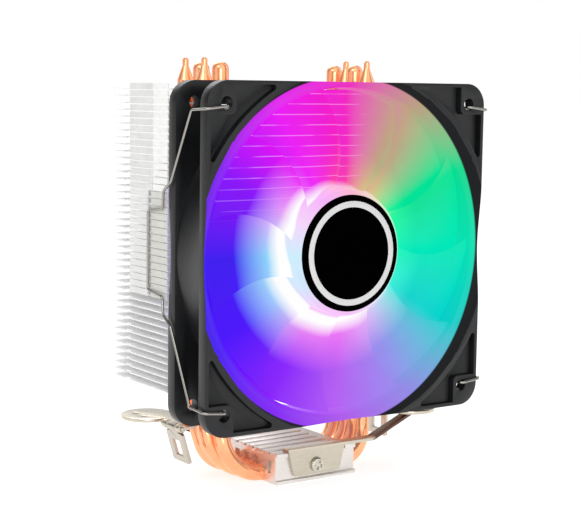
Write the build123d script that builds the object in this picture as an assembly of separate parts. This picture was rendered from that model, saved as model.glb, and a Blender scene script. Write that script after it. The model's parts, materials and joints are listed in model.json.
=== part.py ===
"""Tower cooler for a processor.

A 120 mm fan stands in front of a stack of thin aluminium fins. Four copper heat pipes run through
the fins and, side by side, through a ribbed base block that presses on the processor. Two sprung
brackets on the block carry swinging hooks that catch the lugs of the processor's socket, and two
bent wire clips hold the fan to the stack.

Row frame, in millimetres: the origin is the centre of the base's contact face, +Z is up, the fan
blows along +Y, and +X is to the right for someone facing the fan.
"""
import math
import os

from build123d import *

# ---- base block -------------------------------------------------------------------------------
BASE_X = 35.4           # along the heat pipes
BASE_Y = 46.4           # across them
BASE_FLOOR_Z = 10.6     # height of the valleys between the ribs
BASE_TOP_Z = 11.5       # height of the ribs
RIB_COUNT = 9
RIB_WIDTH = 3.6
RIB_END_X = 12.2        # the ribs stop short of the right end
RIB_CUT_FRONT = 7.2     # from the front face to where the ribs' ends are cut back
LIP_Z = 1.6             # lip along the bottom front and rear edges
LIP_OUT = 1.2
TOP_LIP_X = 13.0        # short lips at the top corners, from here to the ends
TOP_LIP_Z = 10.0
TOP_LIP_OUT = 1.0
SCREW_SLOT_IN = 4.1     # from the front or rear face to the middle of the narrow slot behind it
SCREW_SLOT_WIDTH = 1.6
SCREW_SLOT_Z = (3.6, 8.4)
END_POCKET_WIDTH = 3.2  # pockets in the end faces, between the pipes
END_POCKET_DEPTH = 1.2
END_POCKET_TOP = 8.4

# ---- heat pipes -------------------------------------------------------------------------------
PIPE_R = 3.0
PIPE_AXIS_Z = 2.7       # a little under the radius: the pipes' flat undersides touch the processor
PIPE_COUNT = 4
PIPE_PITCH_BASE = 6.2
PIPE_PITCH_STACK = 6.6
BASE_ROW_Y = -3.7       # middle of the row of pipes in the base
STACK_ROW_Y = 2.7       # the same in the fins
LEFT_LEG_X = (32.8, 35.5)    # alternate pipes stand further out, so that the legs are staggered
RIGHT_LEG_X = (32.6, 31.8)
LEFT_LEAN = (0.0, 0.3, 1.2, 7.0)     # each pipe's leg stands this much further in at the base
RIGHT_LEAN = (3.4, 1.2, 0.6, 0.4)
LEG_STRAIGHT_Z = 32.5   # the legs are upright from here
LEG_BEND_R = 40.0
DOME_TOP_Z = 152.6
DOME_HEIGHT = 4.4
DOME_ROUNDING = 2.5
NOSE_TOP_Z = 154.2
NOSE_NECK_R = 1.15
NOSE_NECK_LENGTH = 3.4
NOSE_CONE_LENGTH = 4.6

# ---- fan --------------------------------------------------------------------------------------
FAN_SIZE = 120.0
FAN_DEPTH = 25.0
FAN_HOLE_PITCH = 105.0
FAN_HOLE_R = 2.2
FAN_CORNER_R = 8.0
FAN_OVERHANG = 20.0     # from the base's front face to the fan's front face
FAN_CENTRE_Z = 86.0
FAN_Y = -BASE_Y / 2 - FAN_OVERHANG
FLANGE = 4.5
BORE_R = 58.2
FLARE_R = 64.0
FLARE_DEPTH = 3.6
DUCT_OUTER_R = 59.5
RIM_R = 66.0            # outer edge of the raised rim round the bore
EDGE_STRIP = 1.3        # raised strip along the outer edges
POCKET_DEPTH = 3.0
POCKET_TIP_R = 1.0      # rounding of the pockets' long tips
POCKET_TIP_WITHIN = 40.0     # the tips are nearer than this to the fan's middle planes
BOSS_EDGE = 48.8        # inner edge of the corner bosses, from the fan's centre
STRUT_COUNT = 4
STRUT_WIDTH = 5.0
CABLE_NOTCH = (6.4, 2.4)     # width and depth of the lead's way out at the bottom
SEAT_R = 22.4
SEAT_DEPTH = 4.0
SEAT_RECESS_R = 9.0     # shallow round recess in the motor seat's rear face
BEARING_TUBE_R = 4.6
BEARING_TUBE_FRONT = 7.0
BEARING_R = 2.9
BEARING = (8.0, 20.6)   # depths behind the fan's front face, here and below
PLUG_R = 4.1
PLUG = (23.1, 24.6)

# ---- rotor ------------------------------------------------------------------------------------
HUB_R = 22.5
HUB_WALL = 1.4
HUB_FRONT = 1.3         # front of the hub, behind the fan's front face
HUB_REAR = 20.0
HUB_PLATE = 1.4
CAP_R = 20.7
RING_OUTER_R = 18.6
RING_INNER_R = 16.3
RING_DEPTH = 0.5
BLADE_COUNT = 11
BLADE_TIP_R = 57.3
BLADE_FRONT = 4.6
BLADE_REAR = 15.4
BLADE_TURN = 58.0       # degrees that a blade turns from its front edge to its rear edge
BLADE_THICK = 4.4       # measured round the hub
BLADE_SWEEP = 5.0       # the front edge bows forward by this much
SHAFT_R = 1.5
SHAFT = (2.0, 22.6)
SHAFT_PLAY = 0.04
SHAFT_BOSS_R = 3.6      # on the back of the hub's front wall
SHAFT_BOSS_REAR = 5.6
SHAFT_CLIP_R = 2.5
SHAFT_CLIP = (21.8, 22.2)
YOKE_R = 20.9
YOKE_WALL = 0.7
YOKE_REAR = 17.0
MAGNET_WALL = 1.9
MAGNET_PLAY = 0.1
MAGNET = (5.2, 16.0)
AIR_GAP = 0.7

# ---- stator -----------------------------------------------------------------------------------
POLES = 4
STATOR = (8.0, 13.0)
STATOR_MIDDLE_R = 7.6
SHOE_THICK = 2.0
SHOE_GAP = 2.6          # between the shoes of neighbouring poles
NECK_WIDTH = 4.4
COIL_SIZE = (8.4, 8.6)
COIL_BORE = (4.6, 5.2)
COIL_CORNER_R = 2.0
COIL_INNER_R = 8.6      # distance of the windings from the shaft's axis
COIL_LENGTH = 5.4
BOARD_R = 20.2
BOARD = (18.6, 19.8)
LED_COUNT = 8
LED_SIZE = (2.6, 1.0)
LED_RADII = (16.9, 19.1)

# ---- fins -------------------------------------------------------------------------------------
FIN_X = 120.0
FIN_Y = 41.2
FIN_GAP = 0.4           # between the fan's rear face and the fins
FIN_THICK = 0.4
FIN_PITCH = 2.5
FIN_FIRST_Z = 37.6
LOWER_FINS = 13
MIDDLE_FINS = 15
UPPER_FINS = 15
FIN_FRONT_Y = FAN_Y + FAN_DEPTH + FIN_GAP
FIN_HOLE_PLAY = 0.05
FIN_CORNER = 2.0
TAB_THICK = 0.5
TAB_GAP = 0.3           # between a tab and the fin below
SIDE_NOTCH = 1.4        # notch in the side edges behind the tabs
NOTCH_AT = (27.9, 31.6)      # from the fins' front edge
TAB_FRONT = 0.6         # where the tabs begin and end, from the fins' front edge
TAB_SPLIT = 10.9        # the upper fins' tabs are slit here
TAB_REAR = 27.6
TAB_SLIT = 0.3
WIRE_GROOVE = (2.4, 0.7)     # width and depth

# ---- wire clips -------------------------------------------------------------------------------
WIRE_R = 0.5
WIRE_OUT = 61.0         # distance of the wire's side run from the middle plane
WIRE_SEAT_OUT = 60.5    # the same where it lies in the fins' groove
WIRE_SEAT_FROM_FAN = 38.6
WIRE_SEAT_HALF = 14.0
WIRE_SEAT_RAISE = 0.6   # height of the groove run's middle above the fan's middle
WIRE_CORNER_R = 1.5

# ---- brackets, hooks and pins -----------------------------------------------------------------
SHEET = 1.2
PLATE_TOP_HALF = 12.8
PLATE_BOTTOM_HALF = 10.3
PLATE_BOTTOM_Z = 2.4
PLATE_CORNER_R = 1.6
ARM_WIDTH = 4.2
ARM_BEND_X = 26.4       # the arm lies on the base's top up to here
PAD_Z = 20.4            # underside of the thumb pad
PAD_CENTRE = (47.0, 20.0)
PAD_R = 9.7
PAD_HOLE_R = 0.9
PAD_HOLES = (3.0, 3.2)  # further out than the pad's centre, and to each side of it
TONGUE_X = 41.0         # inner edge of the tongue from the pad to the hinge
PIN_X = 47.2
PIN_Z = 21.0
PIN_R = 0.8
PIN_PLAY = 0.06
PIN_HEAD_R = 1.4
PIN_HEAD = 0.6
KNUCKLE_R = 1.6
KNUCKLE_Y = (3.3, 6.3)  # the bracket's two knuckles, to each side of the middle
BARREL_HALF = 3.0       # the hook's barrel runs between them
HOOK_WIDTH = 11.5
HOOK_SHOULDER = 2.1     # the hook is at its full width from here down; measured below the pin
HOOK_BOTTOM = 14.3
HOOK_SLOT_WIDTH = 5.2
HOOK_SLOT = (5.3, 11.7)      # top and bottom of the slot, below the pin
HOOK_CORNER_R = 1.0
HOOK_LEAN = 17.0        # degrees by which the left hook hangs inwards
SCREW_HEAD_R = 2.7
SCREW_HEAD = 1.0
SCREW_RECESS = (3.4, 1.2, 0.8)   # arm length, arm width and depth of the cross
SCREW_RECESS_TURN = 20
SCREW_R = 1.5
SCREW_LENGTH = 7.5
SCREW_Z = 5.7


def tube(radius, y_from, y_to, bore=0.0, x=0.0, z=FAN_CENTRE_Z):
    """A cylinder along Y, or a ring, between two depths behind the fan's front face."""
    length = y_to - y_from
    place = Location((x, FAN_Y + y_from + length / 2, z), (90, 0, 0))
    body = Cylinder(radius, length)
    if bore > 0:
        body -= Cylinder(bore, length + 1)
    return place * body


def front_plane(depth):
    """A sketch plane behind the fan's front face, seen from the front: local x is X, local y is Z."""
    return Plane(origin=(0, FAN_Y + depth, FAN_CENTRE_Z), x_dir=(1, 0, 0), z_dir=(0, -1, 0))


def box(x_range, y_range, z_range):
    size = [high - low for low, high in (x_range, y_range, z_range)]
    middle = [(high + low) / 2 for low, high in (x_range, y_range, z_range)]
    return Pos(*middle) * Box(*size)


def mirrored_x(shape):
    return mirror(shape, about=Plane.YZ)


# ---- heat pipes -------------------------------------------------------------------------------
def base_row_y(index):
    return BASE_ROW_Y + (index - (PIPE_COUNT - 1) / 2) * PIPE_PITCH_BASE


def stack_row_y(index):
    return STACK_ROW_Y + (index - (PIPE_COUNT - 1) / 2) * PIPE_PITCH_STACK


def leg_positions():
    """Every place where a pipe's leg passes through the fins."""
    legs = []
    for index in range(PIPE_COUNT):
        legs.append((-LEFT_LEG_X[index % 2], stack_row_y(index)))
        legs.append((RIGHT_LEG_X[index % 2], stack_row_y(index)))
    return legs


def domed_end(x, y):
    end = Pos(x, y, DOME_TOP_Z - DOME_HEIGHT / 2) * Cylinder(PIPE_R, DOME_HEIGHT)
    rim = end.edges().filter_by(GeomType.CIRCLE).sort_by(Axis.Z)[-1]
    return fillet(rim, DOME_ROUNDING)


def nosed_end(x, y):
    cone_top = NOSE_CONE_LENGTH
    top = cone_top + NOSE_NECK_LENGTH
    profile = make_face(Polyline((0, 0), (PIPE_R, 0), (NOSE_NECK_R + 0.35, cone_top - 0.4),
                                 (NOSE_NECK_R, cone_top + 0.5), (NOSE_NECK_R, top - 0.7),
                                 (NOSE_NECK_R - 0.5, top), (0, top), (0, 0)))
    solid = revolve(Plane.XZ * profile, Axis.Z)
    return Pos(x, y, NOSE_TOP_Z - top) * solid


def heat_pipe(index):
    """One U: the odd pipes carry their nose on the left, the even ones on the right."""
    left_x = -LEFT_LEG_X[index % 2]
    right_x = RIGHT_LEG_X[index % 2]
    left_foot = left_x + LEFT_LEAN[index]
    right_foot = right_x - RIGHT_LEAN[index]
    left_bend = -left_foot - BASE_X / 2
    right_bend = right_foot - BASE_X / 2
    base_y = base_row_y(index)
    stack_y = stack_row_y(index)
    dome_z = DOME_TOP_Z - DOME_HEIGHT
    nose_z = NOSE_TOP_Z - NOSE_CONE_LENGTH - NOSE_NECK_LENGTH
    nose_on_left = index % 2 == 1
    left_top = nose_z if nose_on_left else dome_z
    right_top = dome_z if nose_on_left else nose_z
    path = FilletPolyline((left_x, stack_y, left_top), (left_x, stack_y, LEG_STRAIGHT_Z),
                          (left_foot, base_y, PIPE_AXIS_Z), (right_foot, base_y, PIPE_AXIS_Z),
                          (right_x, stack_y, LEG_STRAIGHT_Z), (right_x, stack_y, right_top),
                          radius=(LEG_BEND_R, left_bend, right_bend, LEG_BEND_R))
    section = Plane(origin=path @ 0, z_dir=path % 0) * Circle(PIPE_R)
    pipe = sweep(section, path=path)
    left_end = nosed_end if nose_on_left else domed_end
    right_end = domed_end if nose_on_left else nosed_end
    pipe += left_end(left_x, stack_y)
    pipe += right_end(right_x, stack_y)
    pipe -= box((-60, 60), (-40, 40), (-5, 0))
    return pipe


# ---- base block -------------------------------------------------------------------------------
def base_block():
    half = BASE_Y / 2
    profile = Pos(0, BASE_TOP_Z / 2) * Rectangle(BASE_Y, BASE_TOP_Z)
    pitch = (BASE_Y - RIB_WIDTH) / (RIB_COUNT - 1)
    for gap in range(RIB_COUNT - 1):
        middle = -half + RIB_WIDTH / 2 + (gap + 0.5) * pitch
        depth = BASE_TOP_Z - BASE_FLOOR_Z
        profile -= Pos(middle, BASE_TOP_Z - depth / 2) * Rectangle(pitch - RIB_WIDTH, depth)
    for side in (-1, 1):
        lip = Pos(side * half, LIP_Z / 2) * RectangleRounded(2 * LIP_OUT, LIP_Z, 0.6)
        profile += lip
        low, high = SCREW_SLOT_Z
        slot_y = side * (half - SCREW_SLOT_IN)
        profile -= Pos(slot_y, (low + high) / 2) * Rectangle(SCREW_SLOT_WIDTH, high - low)
    for index in range(PIPE_COUNT):
        profile -= Pos(base_row_y(index), PIPE_AXIS_Z) * Circle(PIPE_R + FIN_HOLE_PLAY)
    block = extrude(Plane.YZ * profile, BASE_X / 2, both=True)
    cut_y = half - RIB_CUT_FRONT
    block -= box((RIB_END_X, BASE_X), (-cut_y, cut_y), (BASE_FLOOR_Z, BASE_TOP_Z + 1))
    for side_x in (-1, 1):
        ends = sorted((side_x * TOP_LIP_X, side_x * BASE_X / 2))
        for side_y in (-1, 1):
            edge = sorted((side_y * (half - 1), side_y * (half + TOP_LIP_OUT)))
            block += box(ends, edge, (TOP_LIP_Z, BASE_TOP_Z))
        inner = BASE_X / 2 - END_POCKET_DEPTH
        pocket_x = sorted((side_x * inner, side_x * (BASE_X / 2 + 1)))
        for index in range(PIPE_COUNT - 1):
            middle = base_row_y(index + 0.5)
            pocket_y = (middle - END_POCKET_WIDTH / 2, middle + END_POCKET_WIDTH / 2)
            block -= box(pocket_x, pocket_y, (PIPE_AXIS_Z, END_POCKET_TOP))
    hole_length = SCREW_LENGTH + 1.2
    for side in (-1, 1):
        place = Pos(0, side * (half - SCREW_LENGTH / 2 + 0.5), SCREW_Z) * Rot(90, 0, 0)
        block -= place * Cylinder(SCREW_R + 0.05, hole_length)
    return block


# ---- fins -------------------------------------------------------------------------------------
def fin_plate(grooved):
    """One fin, its underside at z = 0, with its pipe holes and side notches."""
    half_x = FIN_X / 2
    outline = Pos(0, FIN_FRONT_Y + FIN_Y / 2) * Rectangle(FIN_X, FIN_Y)
    rear = outline.vertices().sort_by(Axis.Y)[-2:]
    outline = chamfer(rear, FIN_CORNER)
    notch_middle = FIN_FRONT_Y + sum(NOTCH_AT) / 2
    notch_length = NOTCH_AT[1] - NOTCH_AT[0]
    for side in (-1, 1):
        outline -= Pos(side * half_x, notch_middle) * Rectangle(2 * SIDE_NOTCH, notch_length)
        if grooved:
            width, depth = WIRE_GROOVE
            outline -= Pos(side * half_x, FAN_Y + WIRE_SEAT_FROM_FAN) * Rectangle(2 * depth, width)
    for x, y in leg_positions():
        outline -= Pos(x, y) * Circle(PIPE_R + FIN_HOLE_PLAY)
    return extrude(outline, FIN_THICK)


def side_tabs(slit_middle, slit_width):
    """The folded tabs that stand on a fin's side edges and close the side of the stack."""
    height = FIN_PITCH - FIN_THICK - TAB_GAP
    spans = [(TAB_FRONT, slit_middle - slit_width / 2), (slit_middle + slit_width / 2, TAB_REAR)]
    tabs = []
    for start, end in spans:
        tab = box((FIN_X / 2 - TAB_THICK, FIN_X / 2), (FIN_FRONT_Y + start, FIN_FRONT_Y + end),
                  (FIN_THICK, FIN_THICK + height))
        tabs += [tab, mirrored_x(tab)]
    return tabs


def fin_group(first, count, slit=None, grooved=False):
    """Fins as separate solids, from the numbered one upwards. The slit parts their side tabs."""
    fin = fin_plate(grooved)
    if slit:
        for tab in side_tabs(*slit):
            fin += tab
    fins = [Pos(0, 0, FIN_FIRST_Z + (first + step) * FIN_PITCH) * fin for step in range(count)]
    return Compound(children=fins)


# ---- fan frame --------------------------------------------------------------------------------
def square_prism(size, corner, depth_from, depth_to):
    plane = front_plane(depth_to)
    return extrude(plane * RectangleRounded(size, size, corner), depth_to - depth_from)


def flare(depth_at_face, depth_inside):
    """A rounded funnel from the wide mouth at a face to the bore."""
    mouth, throat = FLARE_R, BORE_R
    middle_r = throat + (mouth - throat) * 0.30
    middle_depth = depth_at_face + (depth_inside - depth_at_face) * 0.42
    beyond = depth_at_face - (depth_inside - depth_at_face) * 0.3
    outline = (Line((0, beyond), (mouth, beyond)) + Line((mouth, beyond), (mouth, depth_at_face))
               + ThreePointArc((mouth, depth_at_face), (middle_r, middle_depth), (throat, depth_inside))
               + Line((throat, depth_inside), (0, depth_inside)) + Line((0, depth_inside), (0, beyond)))
    plane = Plane(origin=(0, FAN_Y, FAN_CENTRE_Z), x_dir=(1, 0, 0), z_dir=(0, 0, 1))
    return revolve(plane * make_face(outline), Axis((0, 0, FAN_CENTRE_Z), (0, 1, 0)))


def corner_pockets():
    """The recess in the front flange's corners, between rim, edge strips and screw bosses."""
    sketch = RectangleRounded(FAN_SIZE - 2 * EDGE_STRIP, FAN_SIZE - 2 * EDGE_STRIP,
                              FAN_CORNER_R - EDGE_STRIP)
    sketch -= Circle(RIM_R)
    boss = FAN_SIZE / 2 - BOSS_EDGE + 2
    for side_x in (-1, 1):
        for side_z in (-1, 1):
            centre = BOSS_EDGE + boss / 2
            sketch -= Pos(side_x * centre, side_z * centre) * RectangleRounded(boss, boss, 2.0)
    tips = [corner for corner in sketch.vertices() if min(abs(corner.X), abs(corner.Y)) < POCKET_TIP_WITHIN]
    sketch = fillet(tips, POCKET_TIP_R)
    plane = front_plane(POCKET_DEPTH)
    return extrude(plane * sketch, POCKET_DEPTH)


def fan_frame():
    flange_front = square_prism(FAN_SIZE, FAN_CORNER_R, 0, FLANGE)
    flange_rear = square_prism(FAN_SIZE, FAN_CORNER_R, FAN_DEPTH - FLANGE, FAN_DEPTH)
    frame = flange_front + flange_rear + tube(DUCT_OUTER_R, FLANGE - 1, FAN_DEPTH - FLANGE + 1)
    frame -= tube(BORE_R, -1, FAN_DEPTH + 1)
    frame -= flare(0, FLARE_DEPTH)
    frame -= flare(FAN_DEPTH, FAN_DEPTH - FLARE_DEPTH)
    frame -= corner_pockets()
    half = FAN_HOLE_PITCH / 2
    for side_x in (-1, 1):
        for side_z in (-1, 1):
            frame -= tube(FAN_HOLE_R, -1, FAN_DEPTH + 1, x=side_x * half, z=FAN_CENTRE_Z + side_z * half)
    seat_front = FAN_DEPTH - SEAT_DEPTH
    frame += tube(SEAT_R, seat_front, FAN_DEPTH)
    for index in range(STRUT_COUNT):
        strut = box((-STRUT_WIDTH / 2, STRUT_WIDTH / 2), (FAN_Y + seat_front + 0.4, FAN_Y + FAN_DEPTH - 0.4),
                    (SEAT_R - 2, FLARE_R + 1.0))
        frame += Pos(0, 0, FAN_CENTRE_Z) * Rot(0, 45 + index * 360 / STRUT_COUNT, 0) * strut
    frame += tube(BEARING_TUBE_R, BEARING_TUBE_FRONT, seat_front + 0.5)
    frame -= tube(BEARING_R, BEARING_TUBE_FRONT - 1, FAN_DEPTH)
    frame -= tube(SEAT_RECESS_R, FAN_DEPTH - 1.0, FAN_DEPTH + 1)
    frame -= tube(PLUG_R + 0.1, SHAFT_CLIP[0] - 0.2, FAN_DEPTH + 1)
    notch_depth = (FAN_Y + FAN_DEPTH - CABLE_NOTCH[1], FAN_Y + FAN_DEPTH + 1)
    cable_notch = box((-CABLE_NOTCH[0] / 2, CABLE_NOTCH[0] / 2), notch_depth, (BORE_R - 2, FAN_SIZE / 2 + 1))
    frame -= Pos(0, 0, FAN_CENTRE_Z) * Rot(0, 180, 0) * cable_notch
    return frame


# ---- rotor ------------------------------------------------------------------------------------
def blade():
    """One bowed blade: a curved strip, turned about the shaft as it goes back."""
    length = BLADE_REAR - BLADE_FRONT
    root = HUB_R - 0.6
    tip = BLADE_TIP_R
    half = BLADE_THICK / 2
    middle = (root + tip) / 2
    outline = (ThreePointArc((root, -half), (middle, BLADE_SWEEP - half), (tip, -half * 1.2))
               + Line((tip, -half * 1.2), (tip - 0.5, half * 1.2))
               + ThreePointArc((tip - 0.5, half * 1.2), (middle, BLADE_SWEEP + half), (root, half))
               + Line((root, half), (root, -half)))
    start = (0, FAN_Y + BLADE_FRONT, FAN_CENTRE_Z)
    face = Plane(origin=start, x_dir=(1, 0, 0), z_dir=(0, 1, 0)) * make_face(outline)
    return Solid.extrude_linear_with_rotation(
        section=face.faces()[0], center=start, normal=(0, length, 0), angle=BLADE_TURN)


def impeller():
    """Hub cup with a rounded front edge, a boss for the shaft, and the blades."""
    hub = tube(HUB_R, HUB_FRONT, HUB_REAR)
    front_edges = hub.edges().filter_by(GeomType.CIRCLE).sort_by(Axis.Y)[0]
    hub = fillet(front_edges, 1.6)
    hub -= tube(HUB_R - HUB_WALL, HUB_FRONT + HUB_PLATE, HUB_REAR + 1)
    hub += tube(SHAFT_BOSS_R, HUB_FRONT + HUB_PLATE - 0.2, SHAFT_BOSS_REAR)
    hub -= tube(SHAFT_R, SHAFT[0], SHAFT_BOSS_REAR + 1)
    first = blade()
    for index in range(BLADE_COUNT):
        turn = Rot(0, index * 360 / BLADE_COUNT, 0)
        hub += Pos(0, 0, FAN_CENTRE_Z) * turn * Pos(0, 0, -FAN_CENTRE_Z) * first
    return hub


def hub_cap():
    cap = tube(CAP_R, 0.1, HUB_FRONT)
    rim = cap.edges().filter_by(GeomType.CIRCLE).sort_by(Axis.Y)[0]
    cap = fillet(rim, 0.5)
    return cap - tube(RING_OUTER_R, 0, RING_DEPTH, bore=RING_INNER_R)


def rotor_yoke():
    yoke = tube(YOKE_R, HUB_FRONT + HUB_PLATE, YOKE_REAR)
    yoke -= tube(YOKE_R - YOKE_WALL, HUB_FRONT + HUB_PLATE + YOKE_WALL, YOKE_REAR + 1)
    return yoke - tube(SHAFT_BOSS_R + 0.1, 0, SHAFT_BOSS_REAR)


# ---- stator -----------------------------------------------------------------------------------
def round_the_shaft(shape, degrees):
    """shape, made round a shaft on the origin's X and Z, turned and moved to the fan's middle."""
    return Pos(0, 0, FAN_CENTRE_Z) * Rot(0, degrees, 0) * shape


def stator_core():
    pole_tip_r = YOKE_R - YOKE_WALL - MAGNET_PLAY - MAGNET_WALL - AIR_GAP
    front, rear = STATOR
    core = tube(STATOR_MIDDLE_R, front, rear)
    shoes = tube(pole_tip_r, front, rear, bore=pole_tip_r - SHOE_THICK)
    depth = (FAN_Y + front, FAN_Y + rear)
    for index in range(POLES):
        turn = index * 360 / POLES
        gap = box((-SHOE_GAP / 2, SHOE_GAP / 2), depth, (pole_tip_r - 2 * SHOE_THICK, pole_tip_r + 1))
        shoes -= round_the_shaft(gap, turn + 180 / POLES)
    core += shoes
    for index in range(POLES):
        neck = box((-NECK_WIDTH / 2, NECK_WIDTH / 2), depth, (STATOR_MIDDLE_R - 1.6, pole_tip_r - 1.0))
        core += round_the_shaft(neck, index * 360 / POLES)
    return core - tube(BEARING_TUBE_R + 0.05, front - 1, rear + 1)


def stator_coils():
    """Windings, each a rounded ring round a pole's neck."""
    ring = extrude(RectangleRounded(*COIL_SIZE, COIL_CORNER_R) - Rectangle(*COIL_BORE), COIL_LENGTH)
    ring = Pos(0, FAN_Y + sum(STATOR) / 2, COIL_INNER_R) * ring
    return Compound(children=[round_the_shaft(ring, index * 360 / POLES) for index in range(POLES)])


def led_board():
    return tube(BOARD_R, *BOARD, bore=BEARING_TUBE_R + 0.4)


def leds():
    width, height = LED_SIZE
    lamp = box((-width / 2, width / 2), (FAN_Y + BOARD[0] - height, FAN_Y + BOARD[0]), LED_RADII)
    return Compound(children=[round_the_shaft(lamp, index * 360 / LED_COUNT) for index in range(LED_COUNT)])


# ---- wire clips -------------------------------------------------------------------------------
def wire_clip():
    """The left clip: from one screw hole round the fan's side to the fins' groove, and back."""
    half_pitch = FAN_HOLE_PITCH / 2
    upper = [
        (-half_pitch + 0.4, 6.5, half_pitch - 1.0),
        (-half_pitch + 0.4, -1.0, half_pitch - 1.0),
        (-WIRE_OUT, -1.0, 50.5),
        (-WIRE_OUT, 8.4, 50.0),
    ]
    jog = [
        (-WIRE_OUT, 21.6, WIRE_SEAT_HALF + 11.0),
        (-WIRE_OUT, 27.0, WIRE_SEAT_HALF + 7.4),
        (-WIRE_OUT, 27.4, WIRE_SEAT_HALF + 1.2),
        (-WIRE_SEAT_OUT, WIRE_SEAT_FROM_FAN, WIRE_SEAT_HALF),
    ]
    seat = [(x, y, WIRE_SEAT_RAISE + z) for x, y, z in jog]
    seat += [(x, y, WIRE_SEAT_RAISE - z) for x, y, z in reversed(jog)]
    lower = [(x, y, -z) for x, y, z in reversed(upper)]
    points = [(x, FAN_Y + y, FAN_CENTRE_Z + z) for x, y, z in upper + seat + lower]
    path = FilletPolyline(*points, radius=WIRE_CORNER_R)
    section = Plane(origin=path @ 0, z_dir=path % 0) * Circle(WIRE_R)
    return sweep(section, path=path)


# ---- brackets, hooks and pins -----------------------------------------------------------------
def along_y(radius, y_from, y_to):
    """A cylinder along Y on the hinge line."""
    return Pos(0, (y_from + y_to) / 2, 0) * Rot(90, 0, 0) * Cylinder(radius, y_to - y_from)


def bracket():
    """The front bracket: plate on the base's front face, arm to the right, thumb pad and hinge."""
    face_y = -BASE_Y / 2
    front_y = face_y - SHEET
    plate_plane = Plane(origin=(0, face_y, 0), x_dir=(1, 0, 0), z_dir=(0, -1, 0))
    top = BASE_TOP_Z + SHEET
    plate = make_face(Polyline((-PLATE_BOTTOM_HALF, PLATE_BOTTOM_Z), (PLATE_BOTTOM_HALF, PLATE_BOTTOM_Z),
                               (PLATE_TOP_HALF, top), (-PLATE_TOP_HALF, top),
                               (-PLATE_BOTTOM_HALF, PLATE_BOTTOM_Z)))
    plate = fillet(plate.vertices().sort_by(Axis.Y)[:2], PLATE_CORNER_R)
    plate -= Pos(0, SCREW_Z) * Circle(SCREW_R + 0.15)
    part = extrude(plate_plane * plate, SHEET)
    part += box((-PLATE_TOP_HALF, ARM_BEND_X), (front_y, front_y + ARM_WIDTH), (BASE_TOP_Z, top))
    rise = make_face(Polyline((ARM_BEND_X, BASE_TOP_Z), (PIN_X, PAD_Z), (PIN_X, PAD_Z + SHEET),
                              (ARM_BEND_X, top), (ARM_BEND_X, BASE_TOP_Z)))
    arm_plane = Plane(origin=(0, front_y + ARM_WIDTH, 0), x_dir=(1, 0, 0), z_dir=(0, -1, 0))
    part += extrude(arm_plane * rise, ARM_WIDTH)
    pad_x, pad_y = PAD_CENTRE
    part += Pos(pad_x, -pad_y, PAD_Z + SHEET / 2) * Cylinder(PAD_R, SHEET)
    hinge = Pos(PIN_X, 0, PIN_Z)
    near, far = KNUCKLE_Y
    part += box((TONGUE_X, PIN_X - KNUCKLE_R - 0.3), (-pad_y, far), (PAD_Z, PAD_Z + SHEET))
    for knuckle in ((-far, -near), (near, far)):
        part += box((TONGUE_X, PIN_X), knuckle, (PAD_Z, PAD_Z + SHEET))
        part += hinge * along_y(KNUCKLE_R, *knuckle)
    part -= hinge * along_y(PIN_R, -far - 1, far + 1)
    out, apart = PAD_HOLES
    for side in (-1, 1):
        part -= Pos(pad_x + out, -pad_y + side * apart, PAD_Z) * Cylinder(PAD_HOLE_R, 4 * SHEET)
    return part


def hook():
    """A hook hanging straight down from a pin at the origin, in the plane x = 0."""
    thick = (-SHEET / 2, SHEET / 2)
    plate = box(thick, (-HOOK_WIDTH / 2, HOOK_WIDTH / 2), (-HOOK_BOTTOM, -HOOK_SHOULDER))
    plate = fillet(plate.edges().filter_by(Axis.X), HOOK_CORNER_R)
    low, high = -HOOK_SLOT[1], -HOOK_SLOT[0]
    plate -= box((-5, 5), (-HOOK_SLOT_WIDTH / 2, HOOK_SLOT_WIDTH / 2), (low, high))
    plate += box(thick, (-BARREL_HALF, BARREL_HALF), (-HOOK_SHOULDER - 1, 0))
    plate += along_y(KNUCKLE_R, -BARREL_HALF, BARREL_HALF)
    return plate - along_y(PIN_R + PIN_PLAY, -HOOK_WIDTH, HOOK_WIDTH)


def hook_pin():
    """A pin with a flat head, along Y, centred on the hook."""
    reach = KNUCKLE_Y[1]
    end = reach + PIN_HEAD
    return along_y(PIN_R, -end, end) + along_y(PIN_HEAD_R, -end, -reach)


def bracket_screw():
    """A cross-head screw for the front bracket, its head outside the plate."""
    seat_y = -BASE_Y / 2 - SHEET
    head = Pos(0, seat_y - SCREW_HEAD / 2, SCREW_Z) * Rot(90, 0, 0) * Cylinder(SCREW_HEAD_R, SCREW_HEAD)
    dome_edge = head.edges().filter_by(GeomType.CIRCLE).sort_by(Axis.Y)[0]
    head = fillet(dome_edge, 0.6)
    length, width, depth = SCREW_RECESS
    for turn in (SCREW_RECESS_TURN, SCREW_RECESS_TURN + 90):
        recess = Rot(0, turn, 0) * Box(length, 2 * depth, width)
        head -= Pos(0, seat_y - SCREW_HEAD, SCREW_Z) * recess
    shank = Pos(0, seat_y + SCREW_LENGTH / 2, SCREW_Z) * Rot(90, 0, 0) * Cylinder(SCREW_R, SCREW_LENGTH)
    return head + shank


def half_turn(shape):
    """Turned half round about the base's middle, as the rear fittings are."""
    return Rot(0, 0, 180) * shape


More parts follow.
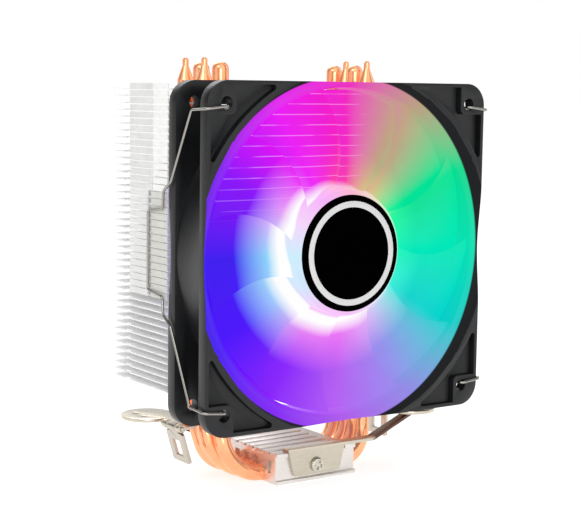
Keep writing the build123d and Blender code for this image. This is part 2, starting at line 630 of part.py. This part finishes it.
def build_parts():
    front_bracket = bracket()
    front_screw = bracket_screw()
    pin = Pos(PIN_X, 0, PIN_Z) * hook_pin()
    left_clip = wire_clip()
    wire_seat = WIRE_SEAT_FROM_FAN - FAN_DEPTH - FIN_GAP
    magnet_r = YOKE_R - YOKE_WALL - MAGNET_PLAY
    parts = {
        "base_block": base_block(),
        "fins_lower": fin_group(0, LOWER_FINS),
        "fins_middle": fin_group(LOWER_FINS, MIDDLE_FINS, (wire_seat, WIRE_GROOVE[0]), grooved=True),
        "fins_upper": fin_group(LOWER_FINS + MIDDLE_FINS, UPPER_FINS, (TAB_SPLIT, TAB_SLIT)),
        "fan_frame": fan_frame(),
        "impeller": impeller(),
        "hub_cap": hub_cap(),
        "hub_ring": tube(RING_OUTER_R - 0.05, 0, RING_DEPTH, bore=RING_INNER_R + 0.05),
        "rotor_yoke": rotor_yoke(),
        "rotor_magnet": tube(magnet_r, *MAGNET, bore=magnet_r - MAGNET_WALL),
        "rotor_shaft": tube(SHAFT_R, *SHAFT),
        "shaft_clip": tube(SHAFT_CLIP_R, *SHAFT_CLIP, bore=SHAFT_R),
        "bearing_sleeve": tube(BEARING_R, *BEARING, bore=SHAFT_R + SHAFT_PLAY),
        "stator_core": stator_core(),
        "stator_coils": stator_coils(),
        "led_board": led_board(),
        "leds": leds(),
        "bearing_cap": tube(PLUG_R, *PLUG),
        "wire_clip_left": left_clip,
        "wire_clip_right": mirrored_x(left_clip),
        "front_bracket": front_bracket,
        "rear_bracket": half_turn(front_bracket),
        "front_screw": front_screw,
        "rear_screw": half_turn(front_screw),
        "right_hook": Pos(PIN_X, 0, PIN_Z) * hook(),
        "left_hook": Pos(-PIN_X, 0, PIN_Z) * Rot(0, -HOOK_LEAN, 0) * hook(),
        "right_hook_pin": pin,
        "left_hook_pin": half_turn(pin),
    }
    for index in range(PIPE_COUNT):
        parts[f"heat_pipe_{index + 1}"] = heat_pipe(index)
    return parts


os.makedirs("parts", exist_ok=True)
for node, shape in build_parts().items():
    export_step(shape, f"parts/{node}.step")
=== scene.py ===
"""Tower cooler for a processor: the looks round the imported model. Metres, in the model's own frame."""
import json
import math

import bmesh
import bpy
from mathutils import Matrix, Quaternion, Vector

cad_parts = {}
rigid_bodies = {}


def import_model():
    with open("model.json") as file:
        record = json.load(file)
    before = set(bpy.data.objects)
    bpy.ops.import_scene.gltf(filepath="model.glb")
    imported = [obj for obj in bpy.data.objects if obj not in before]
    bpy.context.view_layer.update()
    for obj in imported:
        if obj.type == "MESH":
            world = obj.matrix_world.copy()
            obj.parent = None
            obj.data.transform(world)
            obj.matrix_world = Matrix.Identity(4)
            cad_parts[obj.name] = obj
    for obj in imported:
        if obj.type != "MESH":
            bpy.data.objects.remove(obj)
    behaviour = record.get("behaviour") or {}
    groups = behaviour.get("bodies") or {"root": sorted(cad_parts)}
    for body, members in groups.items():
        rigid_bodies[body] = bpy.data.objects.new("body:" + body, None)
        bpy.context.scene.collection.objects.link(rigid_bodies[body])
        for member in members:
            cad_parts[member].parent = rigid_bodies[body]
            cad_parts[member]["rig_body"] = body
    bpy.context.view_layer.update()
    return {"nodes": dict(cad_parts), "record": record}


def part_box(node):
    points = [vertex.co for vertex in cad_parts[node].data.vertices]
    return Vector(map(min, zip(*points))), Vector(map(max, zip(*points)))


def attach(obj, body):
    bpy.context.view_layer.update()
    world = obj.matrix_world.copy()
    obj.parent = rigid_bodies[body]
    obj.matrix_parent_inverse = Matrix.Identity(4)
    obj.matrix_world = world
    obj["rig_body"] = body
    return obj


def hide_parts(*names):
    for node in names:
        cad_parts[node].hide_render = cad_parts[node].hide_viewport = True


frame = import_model()

MM = 0.001
JOINTS = {joint["name"]: joint for joint in frame["record"]["behaviour"]["joints"]}
SHAFT = Vector(JOINTS["rotor_spin"]["pos_m"])

# ---- the studio ---------------------------------------------------------------------------------
CAMERA_PLACE = Vector((-308.98, -451.66, 142.72)) * MM
CAMERA_AZIMUTH = -33.812     # degrees
CAMERA_ELEVATION = 6.722
CAMERA_ROLL = 0.723
LENS = 90.6                  # in mm, as is the film's width
FILM_WIDTH = 36.0
FILM_SHIFT_X = 0.0374
FILM_SHIFT_Y = 0.0077
NEAR_CLIP = 0.01
FAR_CLIP = 30

# each light's name, place, target, width and height, and watts
LIGHTS = [
    ("key", (-0.9, -0.5, 0.9), (0, 0, 0.07), (0.6, 0.6), 4),
    ("low_front", (-0.5, -1.0, 0.12), (0, 0, 0.02), (0.5, 0.16), 1.2),
    ("fill", (1.1, -0.4, 0.5), (0, 0, 0.07), (0.6, 0.9), 0.8),
    ("back", (0.3, 0.9, 0.9), (0, 0, 0.09), (0.9, 0.5), 4),
]

# brightness of the studio's walls round the object, from -X through -Y, +X and +Y to -X
WALL_LEVELS = [(0.0, 1.1), (0.06, 0.2), (0.10, 0.15), (0.14, 1.1), (0.27, 1.35), (0.325, 1.3), (0.355, 0.3),
               (0.41, 0.12), (0.46, 1.0), (0.52, 1.1), (0.57, 0.3), (0.62, 0.3), (0.68, 1.0), (0.78, 1.0),
               (0.82, 0.2), (0.92, 0.2), (1.0, 1.1)]

FLOOR_RADIUS = 20.0
FLOOR_GREY = 0.5
FLOOR_GLEAM = 0.72           # keeps the floor as pale as the walls

# ---- the fins, pipes and brackets ---------------------------------------------------------------
TAB_DEPTH = 0.0278           # how far the fins' side tabs run back from the fins' front edge
TAB_SKIN = 0.0010            # the tabs lie within this of the fins' sides
SHARP_FADE = 0.0002          # half the width of a change of tone at a tab's edge
TONE_FADE = 0.0006           # half the width of the change between a tab's two tones, and its waviness
FIN_PAINTED_GLOW = 0.08             # painted glow: an emission that lifts the shaded gaps between the fins, which are very bright in the studio
FIN_TONE = (241, 241, 241)

# a painted glow, as emission, on the pipes where they come out of the fins
PIPE_PAINTED_GLOW = (0.20, 0.085, 0.046)
PIPE_PAINTED_GLOW_BELOW = 0.035     # the pipes get a painted glow below this height, under the fins,
PIPE_PAINTED_GLOW_ABOVE = 0.145     # and above this one, over the fins
PIPE_PAINTED_GLOW_FADE = 0.001

ARM_START = 0.0265           # the brackets' arms begin this far from the middle
ARM_START_FADE = 0.001
ARM_TOP = 0.0197             # and get a painted dark reflection below this height
ARM_TOP_FADE = 0.0003

# ---- the impeller's light -----------------------------------------------------------------------
# hues every 30 degrees, anticlockwise from the left side as seen from the front
OUTER_HUES = [(62, 22, 242), (75, 6, 253), (137, 31, 253), (181, 94, 244), (150, 145, 238), (1, 213, 207),
              (0, 233, 185), (2, 227, 149), (193, 165, 132), (243, 32, 196), (235, 22, 246), (139, 10, 250)]
INNER_HUES = [(150, 225, 254), (168, 210, 252), (241, 135, 247), (242, 118, 247), (230, 194, 250),
              (70, 250, 226), (30, 254, 190), (40, 255, 165), (220, 200, 135), (250, 62, 165),
              (238, 26, 250), (240, 170, 250)]
HUB_WALL = 0.0233            # the hub's wall ends and the blades begin this far from the shaft
HUB_WALL_FADE = 0.0005
HUB_HUE_SHARE = 0.55         # share of the inner hues in the hub's wall; the rest is white
WHITE_REACH = 0.0225         # how far from the shaft the glow on the blades is white
WHITE_FADE = 0.005           # over this distance it turns to the inner hues
OUTER_START = 0.003          # this far past WHITE_REACH the outer hues begin
OUTER_FULL = 0.018           # and here they are alone
WHITE_SWAY = 0.0055          # the white reaches further by this much towards WHITE_TOWARDS
WHITE_TOWARDS = 205.0        # degrees

PALE_LINE_PITCH = 0.0036     # fine pale lines in the light, above and to the left of the hub
PALE_LINE_HALF = 0.02        # half a line's width, as a share of the pitch
PALE_LINE_SOFT = 0.06        # the same with its soft edge
PALE_LINE_COLOUR = (1.0, 0.50, 1.0)
PALE_LINE_STRENGTH = 0.42

BORE_LIGHT_REACH = 0.0592    # the light on the bore ends this far from the shaft, to the right
BORE_LIGHT_RISE = 0.0020     # and this much further out above and below
BORE_LIGHT_LEFT = 0.0048     # and this much further out to the left
BORE_LIGHT_FADE = 0.0004
BORE_LIGHT_STRENGTH = 0.9
BORE_INSIDE = 0.0575         # the bore's and flares' faces lie between these distances from the shaft
BORE_OUTSIDE = 0.0645
FACING_SHAFT = -0.08         # a face looks at the shaft if its normal's outward part is below this

# ---- the edges ----------------------------------------------------------------------------------
# bevels in mm; the nodes that aren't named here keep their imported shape
BEVELS = {
    "fan_frame": 0.35, "base_block": 0.2, "front_bracket": 0.18, "rear_bracket": 0.18, "front_screw": 0.12,
    "rear_screw": 0.12, "left_hook": 0.18, "right_hook": 0.18, "left_hook_pin": 0.12, "right_hook_pin": 0.12,
    "hub_cap": 0.0, "hub_ring": 0.08,
}
BEVEL_SEGMENTS = 2
SHARP_ANGLE = math.radians(32.0)
FLAT_ANGLE = math.radians(0.6)
WELD_DISTANCE = 0.002 * MM


# ---- nodes --------------------------------------------------------------------------------------
def rgb(red, green, blue):
    """A display colour, 0 to 255, as a shader colour."""
    def linear(value):
        share = value / 255
        return share / 12.92 if share <= 0.04045 else ((share + 0.055) / 1.055) ** 2.4
    return linear(red), linear(green), linear(blue)


class Wiring:
    """Short calls that add nodes to a node tree and join them."""

    def __init__(self, tree):
        self.tree = tree

    def add(self, kind, sockets=None, **settings):
        made = self.tree.nodes.new("ShaderNode" + kind)
        for name, value in settings.items():
            setattr(made, name, value)
        for socket, value in (sockets or {}).items():
            if isinstance(value, bpy.types.NodeSocket):
                self.tree.links.new(value, made.inputs[socket])
            else:
                made.inputs[socket].default_value = value
        return made

    def math(self, operation, a, b=0.0):
        return self.add("Math", {0: a, 1: b}, operation=operation).outputs[0]

    def spread(self, value, low, high, to_low=0.0, to_high=1.0):
        """value from low..high to to_low..to_high, held at the ends."""
        sockets = {"Value": value, "From Min": low, "From Max": high, "To Min": to_low, "To Max": to_high}
        return self.add("MapRange", sockets).outputs["Result"]

    def ramp(self, value, stops):
        """The colour at value; each stop is a position and a colour."""
        made = self.add("ValToRGB", {"Fac": value})
        elements = made.color_ramp.elements
        while len(elements) < len(stops):
            elements.new(0.5)
        for element, (at, colour) in zip(elements, stops):
            element.position = at
            element.color = (*colour, 1)
        return made.outputs["Color"]

    def mix(self, factor, a, b, blend="MIX"):
        """From colour a at factor 0 to colour b at factor 1."""
        return self.add("Mix", {0: factor, 6: a, 7: b}, data_type="RGBA", blend_type=blend).outputs[2]

    def shaded(self, colour, shade):
        """The colour, times a grey."""
        grey = self.add("CombineXYZ", {0: shade, 1: shade, 2: shade}).outputs[0]
        return self.mix(1.0, colour, grey, "MULTIPLY")


class Look(Wiring):
    """A material being made, with its shader's constant values."""

    def __init__(self, name, constants):
        self.material = bpy.data.materials.new(name)
        self.material.use_nodes = True
        super().__init__(self.material.node_tree)
        self.shader = self.tree.nodes["Principled BSDF"]
        for socket, value in constants.items():
            self.shader.inputs[socket].default_value = value

    def place(self, scale=(1, 1, 1), shift=(0, 0, 0)):
        """The point's place in the model's frame, stretched and shifted."""
        coords = self.add("TexCoord").outputs["Object"]
        return self.add("Mapping", {"Vector": coords, "Scale": scale, "Location": shift}).outputs["Vector"]

    def parts_of_place(self, shift=(0, 0, 0)):
        return self.add("SeparateXYZ", {0: self.place(shift=shift)}).outputs

    def noise(self, scale, detail=3.0, roughness=0.5, stretch=(1, 1, 1)):
        sockets = {"Vector": self.place(stretch), "Scale": scale, "Detail": detail, "Roughness": roughness}
        return self.add("TexNoise", sockets).outputs["Fac"]

    def bump(self, height, depth_mm, strength=1.0):
        sockets = {"Height": height, "Distance": depth_mm * MM, "Strength": strength}
        return self.add("Bump", sockets).outputs["Normal"]

    def use(self, **sockets):
        """Joins what is given to the shader and returns the material."""
        names = {"colour": "Base Color", "rough": "Roughness", "normal": "Normal",
                 "emission": "Emission Color"}
        for key, value in sockets.items():
            self.tree.links.new(value, self.shader.inputs[names[key]])
        return self.material


# ---- camera, light and floor --------------------------------------------------------------------
def look_back(azimuth, elevation):
    """From the object to a viewer: azimuth 0 looks along +Y, elevation is above the horizon."""
    a, e = math.radians(azimuth), math.radians(elevation)
    return Vector((math.sin(a) * math.cos(e), -math.cos(a) * math.cos(e), math.sin(e)))


def make_camera():
    data = bpy.data.cameras.new("camera")
    data.lens = LENS
    data.sensor_width = FILM_WIDTH
    data.shift_x = FILM_SHIFT_X
    data.shift_y = FILM_SHIFT_Y
    data.clip_start = NEAR_CLIP
    data.clip_end = FAR_CLIP
    camera = bpy.data.objects.new("camera", data)
    bpy.context.scene.collection.objects.link(camera)
    camera.location = CAMERA_PLACE
    roll = Quaternion((0, 0, 1), math.radians(CAMERA_ROLL))
    towards = -look_back(CAMERA_AZIMUTH, CAMERA_ELEVATION)
    camera.rotation_mode = "QUATERNION"
    camera.rotation_quaternion = towards.to_track_quat("-Z", "Y") @ roll
    bpy.context.scene.camera = camera


def area_light(name, place, target, size, watts):
    data = bpy.data.lights.new(name, "AREA")
    data.shape = "RECTANGLE"
    data.size, data.size_y = size
    data.energy = watts
    light = bpy.data.objects.new(name, data)
    bpy.context.scene.collection.objects.link(light)
    light.location = place
    direction = Vector(target) - Vector(place)
    light.rotation_mode = "QUATERNION"
    light.rotation_quaternion = direction.to_track_quat("-Z", "Y")


def make_world():
    """A white studio. The object reflects bright walls with dark panels between them."""
    world = bpy.data.worlds.new("studio")
    bpy.context.scene.world = world
    world.use_nodes = True
    studio = Wiring(world.node_tree)
    direction = studio.add("SeparateXYZ", {0: studio.add("TexCoord").outputs["Generated"]}).outputs
    bearing = studio.math("ARCTAN2", direction["Y"], direction["X"])
    share = studio.spread(bearing, -math.pi, math.pi)
    walls = studio.ramp(share, [(at, (level, level, level)) for at, level in WALL_LEVELS])
    seen = studio.add("LightPath").outputs["Is Camera Ray"]
    colour = studio.mix(seen, walls, (1, 1, 1, 1))
    background = studio.tree.nodes["Background"]
    background.inputs["Strength"].default_value = 1.0
    studio.tree.links.new(colour, background.inputs["Color"])


def make_floor():
    mesh = bpy.data.meshes.new("floor")
    build = bmesh.new()
    bmesh.ops.create_circle(build, cap_ends=True, segments=96, radius=FLOOR_RADIUS)
    build.to_mesh(mesh)
    build.free()
    floor = bpy.data.objects.new("floor", mesh)
    bpy.context.scene.collection.objects.link(floor)
    grey = (FLOOR_GREY, FLOOR_GREY, FLOOR_GREY, 1)
    look = Look("floor", {"Base Color": grey, "Roughness": 0.9, "Specular IOR Level": 0.0,
                          "Emission Color": (1, 1, 1, 1), "Emission Strength": FLOOR_GLEAM})
    floor.data.materials.append(look.material)


# ---- materials ----------------------------------------------------------------------------------
def moulded_plastic(name, colour, roughness, grain_mm=0.25, gloss=0.5):
    """Plastic with a fine grain and cloudy gloss."""
    look = Look(name, {"Base Color": (*colour, 1), "Roughness": roughness, "Specular IOR Level": gloss})
    grain = look.noise(1 / (grain_mm * MM), 2.0)
    cloud = look.noise(60, 3.0)
    uneven = look.math("ADD", look.math("MULTIPLY", grain, 0.4), cloud)
    dull = look.spread(uneven, 0.5, 1.1, roughness - 0.07, roughness + 0.08)
    darker = (*[c * 0.86 for c in colour], 1)
    lighter = (*[c * 1.16 for c in colour], 1)
    tone = look.mix(look.spread(cloud, 0.35, 0.7), darker, lighter)
    return look.use(colour=tone, rough=dull, normal=look.bump(grain, 0.02, 0.5))


def drawn_metal(name, colour, roughness, lines, depth_mm=0.01, metal=1.0, tint=0.08, retone=None):
    """Metal with fine lines. lines is the noise's stretch: small along the lines, large across."""
    look = Look(name, {"Metallic": metal, "Base Color": (*colour, 1), "Roughness": roughness})
    streak = look.noise(1.0, 3.0, 0.55, lines)
    cloud = look.noise(45, 4.0)
    dull = look.spread(look.math("ADD", streak, cloud), 0.7, 1.3, roughness - 0.06, roughness + 0.09)
    light = (*[min(1.0, c * (1 + tint)) for c in colour], 1)
    dark = (*[c * (1 - tint) for c in colour], 1)
    uneven = look.math("ADD", look.math("MULTIPLY", streak, 0.6), cloud)
    tone = look.mix(look.spread(uneven, 0.5, 1.1), dark, light)
    if retone:
        tone = retone(look, tone)
    return look.use(colour=tone, rough=dull, normal=look.bump(streak, depth_mm, 0.6))


def arm_painted_reflection(look, tone):
    """Paints a dark reflection onto the bracket's rising arm, which looks into the dark under the fins."""
    place = look.parts_of_place()
    out = look.math("ABSOLUTE", place["X"])
    past_start = look.spread(out, ARM_START - ARM_START_FADE, ARM_START + ARM_START_FADE)
    below_top = look.spread(place["Z"], ARM_TOP + ARM_TOP_FADE, ARM_TOP - ARM_TOP_FADE)
    on_arm = look.math("MULTIPLY", past_start, below_top)
    return look.mix(look.math("MULTIPLY", on_arm, 0.95), tone, (*rgb(92, 58, 44), 1))


def copper():
    """Drawn copper, cloudy and freckled, with a painted glow where it comes out of the fins."""
    look = Look("copper", {"Metallic": 0.8, "Roughness": 0.2, "Emission Strength": 1.0})
    height = look.parts_of_place()["Z"]
    below = look.spread(height, PIPE_PAINTED_GLOW_BELOW + PIPE_PAINTED_GLOW_FADE, PIPE_PAINTED_GLOW_BELOW - PIPE_PAINTED_GLOW_FADE)
    above = look.spread(height, PIPE_PAINTED_GLOW_ABOVE - PIPE_PAINTED_GLOW_FADE, PIPE_PAINTED_GLOW_ABOVE + PIPE_PAINTED_GLOW_FADE)
    # painted glow: emission on the pipes below and above the fins
    painted_glow = look.mix(look.math("ADD", below, above), (0, 0, 0, 1), (*PIPE_PAINTED_GLOW, 1))
    draw = look.noise(1.0, 3.0, 0.5, (700, 700, 60))
    cloud = look.noise(70, 4.0, 0.6)
    fine = look.noise(900, 2.0)
    tone = look.mix(look.spread(cloud, 0.3, 0.72), (*rgb(250, 150, 104), 1), (*rgb(255, 188, 142), 1))
    freckle = look.spread(look.noise(260, 2.0), 0.62, 0.74)
    tone = look.mix(look.math("MULTIPLY", freckle, 0.25), tone, (*rgb(176, 88, 60), 1))
    dull = look.spread(look.math("ADD", cloud, look.math("MULTIPLY", fine, 0.5)), 0.5, 1.1, 0.10, 0.26)
    return look.use(colour=tone, rough=dull, normal=look.bump(draw, 0.02, 0.4), emission=painted_glow)


def fin_metal(name, front_tone, rear_tone, split):
    """Pale aluminium. The side tabs have a tone of their own, and another one ahead of the split."""
    # the fins' faint emission is a painted glow that lifts the shade in the gaps between them
    look = Look(name, {"Metallic": 0.12, "Roughness": 0.5, "Specular IOR Level": 0.3,
                       "Emission Color": (1, 1, 0.99, 1), "Emission Strength": FIN_PAINTED_GLOW})
    low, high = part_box("fins_upper")
    place = look.parts_of_place()
    depth = look.math("SUBTRACT", place["Y"], low[1])
    streak = look.noise(1.0, 3.0, 0.55, (60, 260, 900))
    cloud = look.noise(130, 4.0, 0.6)
    wavy = look.math("ADD", depth, look.spread(cloud, 0.3, 0.7, -TONE_FADE, TONE_FADE))
    past_split = look.spread(wavy, split - TONE_FADE, split + TONE_FADE)
    tabs = look.mix(past_split, (*rgb(*front_tone), 1), (*rgb(*rear_tone), 1))
    side = high[0] - TAB_SKIN
    on_side = look.spread(look.math("ABSOLUTE", place["X"]), side - SHARP_FADE, side + SHARP_FADE)
    ahead_of_end = look.spread(depth, TAB_DEPTH + SHARP_FADE, TAB_DEPTH - SHARP_FADE)
    tone = look.mix(look.math("MULTIPLY", on_side, ahead_of_end), (*rgb(*FIN_TONE), 1), tabs)
    tone = look.shaded(tone, look.spread(look.math("ADD", streak, cloud), 0.7, 1.3, 0.86, 1.0))
    dull = look.spread(cloud, 0.3, 0.7, 0.42, 0.58)
    return look.use(colour=tone, rough=dull, normal=look.bump(streak, 0.03, 0.7))


def hub_light(look):
    """The hub's light, whose hues go round the shaft and are whiter close to the hub.

    Returns the colour, the distance from the shaft, and the distances to its right and above it.
    """
    place = look.parts_of_place(shift=(-SHAFT.x, 0, -SHAFT.z))
    across, up = place["X"], place["Z"]
    squares = look.math("ADD", look.math("MULTIPLY", across, across), look.math("MULTIPLY", up, up))
    radius = look.math("SQRT", squares)
    turn = look.math("ADD", look.math("DIVIDE", look.math("ARCTAN2", up, across), 2 * math.pi), 0.5)
    towards = math.radians(WHITE_TOWARDS)
    along = look.math("ADD", look.math("MULTIPLY", across, math.cos(towards)),
                      look.math("MULTIPLY", up, math.sin(towards)))
    sway = look.math("MULTIPLY", look.math("DIVIDE", along, radius), WHITE_SWAY)
    near = look.math("SUBTRACT", radius, sway)
    rings = []
    for hues in (OUTER_HUES, INNER_HUES):
        stops = [(index / len(hues), rgb(*hue)) for index, hue in enumerate(hues + hues[:1])]
        rings.append(look.ramp(turn, stops))
    outer, inner = rings
    white = (1, 1, 1, 1)
    tinted = look.mix(look.spread(near, WHITE_REACH, WHITE_REACH + WHITE_FADE), white, inner)
    past_inner = look.spread(near, WHITE_REACH + OUTER_START, WHITE_REACH + OUTER_FULL)
    blades = look.mix(past_inner, tinted, outer)
    hub = look.mix(HUB_HUE_SHARE, white, inner)
    past_hub = look.spread(radius, HUB_WALL - HUB_WALL_FADE, HUB_WALL + HUB_WALL_FADE)
    return look.mix(past_hub, hub, blades), radius, across, up


def pale_lines(look, across, up):
    """How strongly the fins' edges show through the blades, above and to the left of the hub."""
    step = look.math("FRACT", look.math("DIVIDE", up, PALE_LINE_PITCH))
    from_line = look.math("ABSOLUTE", look.math("SUBTRACT", step, 0.5))
    line = look.spread(from_line, PALE_LINE_HALF, PALE_LINE_SOFT, 1.0, 0.0)
    zone = look.math("MULTIPLY", look.spread(up, 0.012, 0.026), look.spread(across, 0.012, 0.004))
    broken = look.spread(look.noise(1.0, 2.0, 0.5, (60, 60, 300)), 0.34, 0.5)
    return look.math("MULTIPLY", look.math("MULTIPLY", line, zone),
                     look.math("MULTIPLY", broken, PALE_LINE_STRENGTH))


def lit_impeller():
    """The milky impeller, lit from the hub."""
    look = Look("impeller_glow", {"Base Color": (0.002, 0.002, 0.002, 1), "Roughness": 0.4,
                                  "Specular IOR Level": 0.06, "Emission Strength": 1.0})
    colour, _, across, up = hub_light(look)
    colour = look.shaded(colour, look.spread(look.noise(110, 3.0), 0.3, 0.7, 0.96, 1.0))
    colour = look.mix(pale_lines(look, across, up), colour, (*PALE_LINE_COLOUR, 1))
    return look.use(emission=colour)


def lit_bore():
    """The frame's plastic in the bore and on its flares, which carry the impeller's light."""
    look = Look("bore_plastic", {"Base Color": (0.0045, 0.005, 0.006, 1), "Roughness": 0.40,
                                 "Specular IOR Level": 0.12, "Emission Strength": 1.0})
    colour, radius, across, up = hub_light(look)
    upright = look.math("POWER", look.math("DIVIDE", up, radius), 2.0)
    left = look.math("MAXIMUM", look.math("DIVIDE", look.math("MULTIPLY", across, -1.0), radius), 0.0)
    further = look.math("ADD", look.math("MULTIPLY", upright, BORE_LIGHT_RISE),
                        look.math("MULTIPLY", left, BORE_LIGHT_LEFT))
    reach = look.math("SUBTRACT", radius, further)
    lit = look.spread(reach, BORE_LIGHT_REACH, BORE_LIGHT_REACH + BORE_LIGHT_FADE, BORE_LIGHT_STRENGTH, 0.0)
    colour = look.mix(lit, (0, 0, 0, 1), colour)
    return look.use(emission=colour, normal=look.bump(look.noise(4000, 2.0), 0.02, 0.5))


def make_materials():
    """The materials by the name that they are looked up with."""
    steel_lines = (90, 1600, 1600)
    return {
        "base_block": drawn_metal("base_metal", rgb(232, 226, 220), 0.3, (60, 2200, 2200), depth_mm=0.02,
                                  metal=0.75),
        "heat_pipe": copper(),
        "fins_lower": fin_metal("fin_metal_lower", FIN_TONE, FIN_TONE, 0.012),
        "fins_middle": fin_metal("fin_metal_middle", (206, 206, 199), (222, 222, 221), 0.0125),
        "fins_upper": fin_metal("fin_metal_upper", (240, 240, 238), (219, 219, 218), 0.0109),
        "fan_frame": moulded_plastic("frame_plastic", (0.0055, 0.006, 0.007), 0.40, gloss=0.42),
        "impeller": lit_impeller(),
        "hub_cap": moulded_plastic("cap_plastic", (0.0004, 0.0004, 0.0005), 0.7, grain_mm=0.5, gloss=0.0),
        "hub_ring": drawn_metal("ring_foil", rgb(206, 206, 206), 0.5, (500, 500, 500), depth_mm=0.003,
                                metal=0.2, tint=0.02),
        "bearing_cap": moulded_plastic("plug_plastic", (0.01, 0.01, 0.011), 0.35, grain_mm=0.5),
        "rotor_yoke": drawn_metal("yoke_steel", rgb(150, 150, 150), 0.35, steel_lines),
        "rotor_magnet": moulded_plastic("magnet_mass", (0.03, 0.028, 0.027), 0.6),
        "rotor_shaft": drawn_metal("shaft_steel", rgb(210, 210, 212), 0.15, (2000, 60, 2000)),
        "shaft_clip": moulded_plastic("clip_nylon", rgb(222, 218, 204), 0.45),
        "bearing_sleeve": drawn_metal("bearing_bronze", rgb(176, 140, 92), 0.45, (900, 900, 900)),
        "stator_core": drawn_metal("stator_steel", rgb(110, 110, 116), 0.4, (60, 3000, 60), depth_mm=0.05),
        "stator_coils": drawn_metal("winding_copper", rgb(196, 104, 62), 0.3, (60, 60, 2600), depth_mm=0.08),
        "led_board": moulded_plastic("board_mask", rgb(30, 92, 52), 0.35),
        "leds": moulded_plastic("lamp_body", rgb(236, 232, 220), 0.3),
        "wire_clip": drawn_metal("spring_wire", rgb(160, 157, 151), 0.16, (700, 700, 90), depth_mm=0.006,
                                 tint=0.05),
        # the bracket's rising arm gets a painted dark reflection
        "bracket": drawn_metal("bracket_steel", rgb(208, 199, 182), 0.26, (90, 1500, 1500), depth_mm=0.006,
                               metal=0.9, tint=0.06, retone=arm_painted_reflection),
        "hook": drawn_metal("hook_steel", rgb(198, 191, 179), 0.3, (1500, 1500, 90), depth_mm=0.006,
                            tint=0.06),
        "screw": drawn_metal("screw_steel", rgb(214, 208, 196), 0.26, (900, 900, 900), depth_mm=0.006,
                             tint=0.05),
    }


def material_for(node, materials):
    """The material whose name is part of the node's name; the longest such name wins."""
    found = [name for name in materials if name in node]
    return materials[max(found, key=len)]


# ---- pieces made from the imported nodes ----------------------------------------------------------
def refined(node, bevel_mm, material):
    """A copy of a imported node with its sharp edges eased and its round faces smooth."""
    source = frame["nodes"][node]
    build = bmesh.new()
    build.from_mesh(source.data)
    bmesh.ops.remove_doubles(build, verts=build.verts, dist=WELD_DISTANCE)
    bmesh.ops.dissolve_limit(build, angle_limit=FLAT_ANGLE, verts=build.verts, edges=build.edges)
    edges = [e for e in build.edges if len(e.link_faces) == 2 and e.calc_face_angle(0) > SHARP_ANGLE]
    if bevel_mm > 0:
        bmesh.ops.bevel(build, geom=edges, offset=bevel_mm * MM, offset_type="OFFSET",
                        segments=BEVEL_SEGMENTS, profile=0.5, affect="EDGES", clamp_overlap=True)
    for face in build.faces:
        face.smooth = True
    for edge in build.edges:
        if len(edge.link_faces) == 2 and edge.calc_face_angle(0) > SHARP_ANGLE:
            edge.smooth = False
    mesh = bpy.data.meshes.new(node + "_finished")
    build.to_mesh(mesh)
    build.free()
    mesh.materials.clear()
    mesh.materials.append(material)
    piece = bpy.data.objects.new(node + "_finished", mesh)
    bpy.context.scene.collection.objects.link(piece)
    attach(piece, source["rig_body"])
    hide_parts(node)
    return piece


def light_bore(piece):
    """The faces of the frame's bore and flares, which look at the shaft, get the lit plastic."""
    piece.data.materials.append(lit_bore())
    for face in piece.data.polygons:
        out = face.center - SHAFT
        out.y = 0
        if BORE_INSIDE < out.length < BORE_OUTSIDE and face.normal.dot(out.normalized()) < FACING_SHAFT:
            face.material_index = 1


def dress(node, material):
    """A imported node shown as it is, in its own material."""
    source = frame["nodes"][node]
    source.data.materials.clear()
    source.data.materials.append(material)


def main():
    make_camera()
    make_world()
    make_floor()
    for settings in LIGHTS:
        area_light(*settings)
    materials = make_materials()
    for node in frame["nodes"]:
        material = material_for(node, materials)
        if node in BEVELS:
            piece = refined(node, BEVELS[node], material)
            if node == "fan_frame":
                light_bore(piece)
        else:
            dress(node, material)
    bpy.context.scene.view_settings.view_transform = "Standard"


main()
